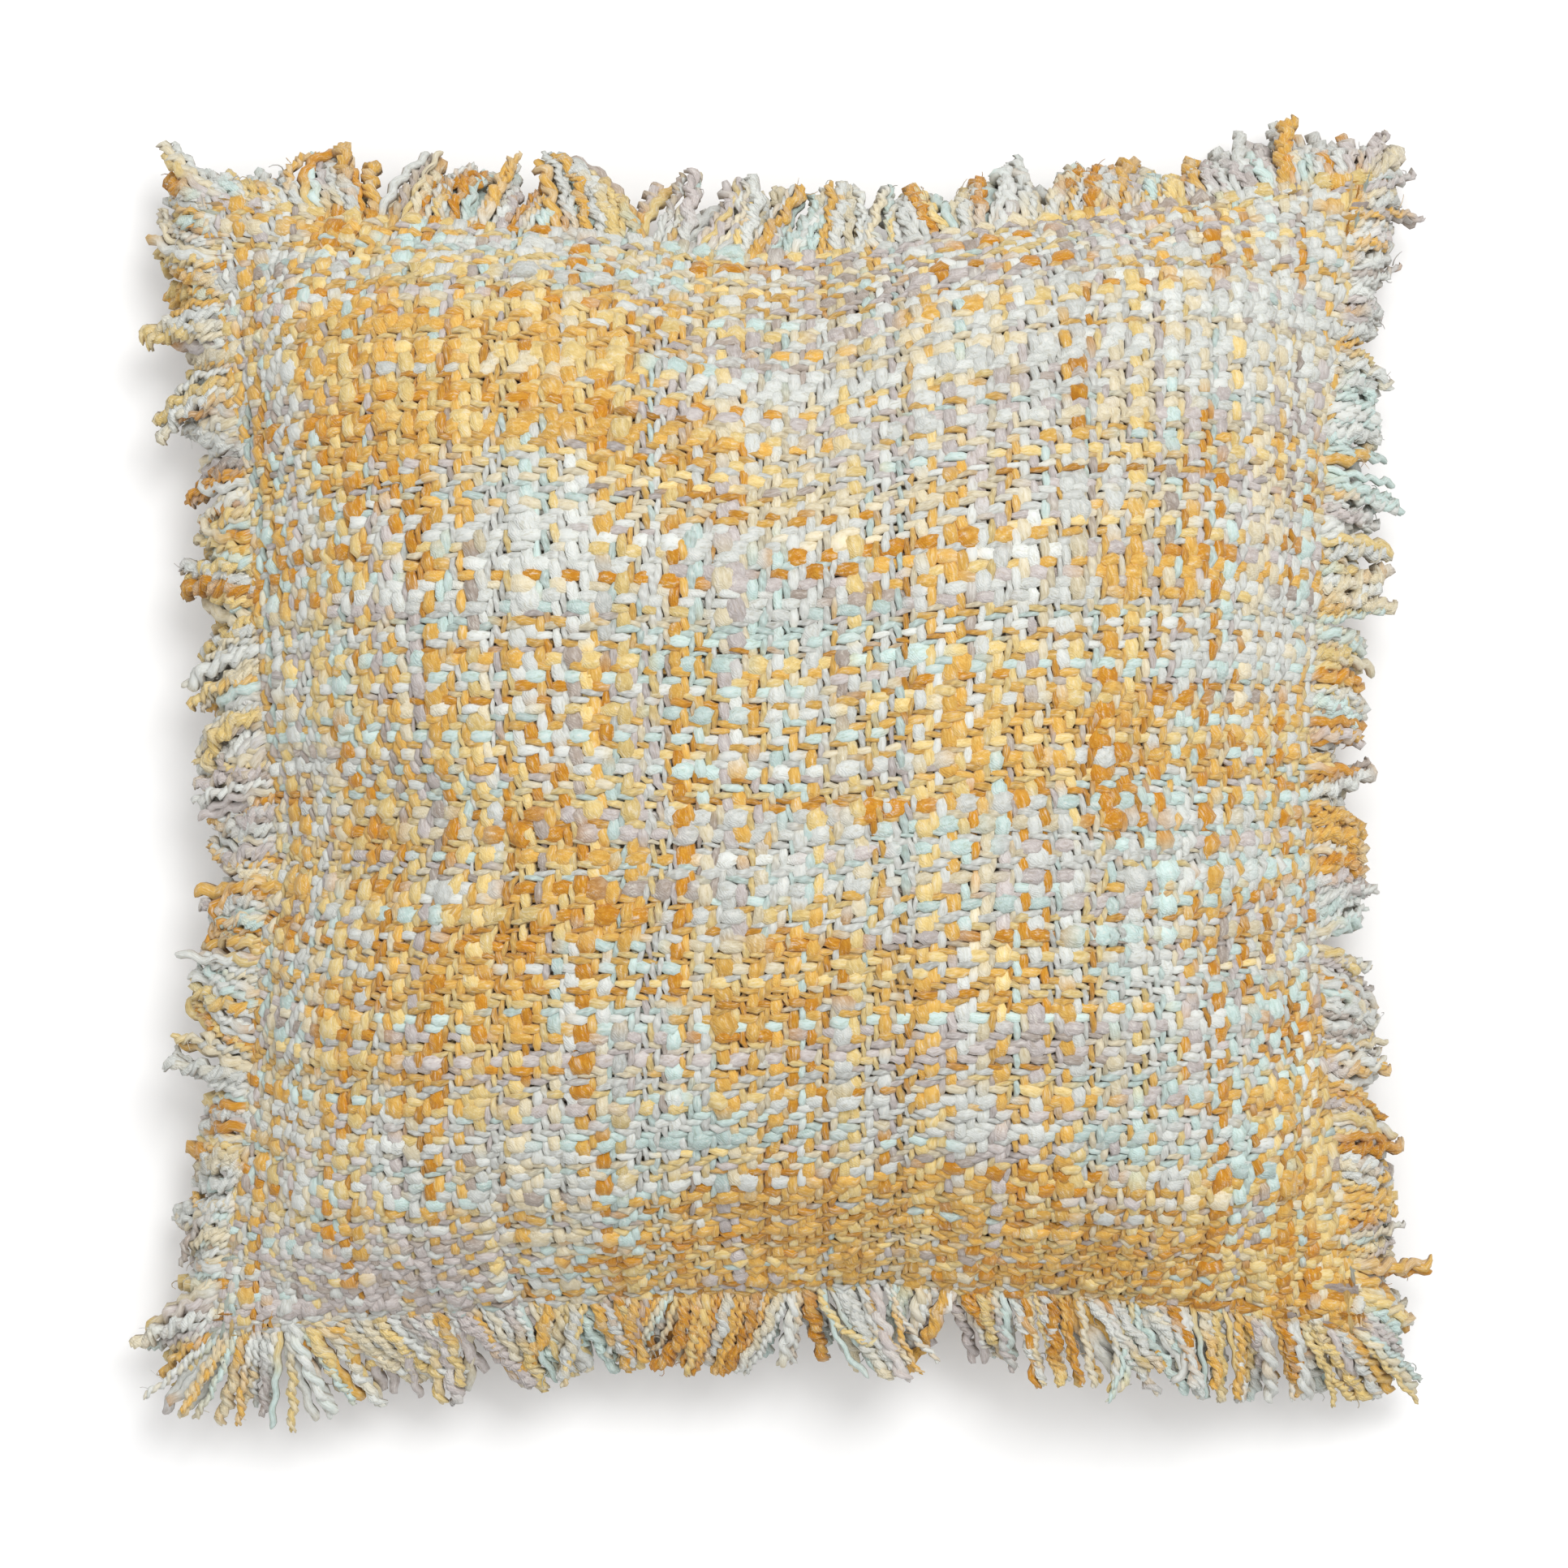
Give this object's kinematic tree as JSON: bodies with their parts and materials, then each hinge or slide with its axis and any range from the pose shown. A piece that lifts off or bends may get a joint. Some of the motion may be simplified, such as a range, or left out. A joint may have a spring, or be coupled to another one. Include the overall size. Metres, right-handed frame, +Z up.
{
  "type": "fringed cushion cover on its filling",
  "caption": "Square wool cushion cover, shown filled and lying on its back, with frayed yarn ends standing out as a fringe on every side.",
  "frame": {"origin": "on the surface the cushion lies on, under the middle of the object's box", "axes": "+Z up through the crown of the front panel, +X to the right and +Y to the top of the front panel"},
  "size_m": [0.489, 0.5004, 0.1441],
  "materials": {
    "cloth": "matte thick and thin wool twill, space-dyed mustard, cream, grey and pale aqua",
    "fringe": "matte frayed wool yarn ends, mustard, cream and grey"
  },
  "bodies": {
    "root": {"cushion": "cloth", "fringe_top": "fringe", "fringe_bottom": "fringe", "fringe_left": "fringe", "fringe_right": "fringe"}
  },
  "joints": []
}
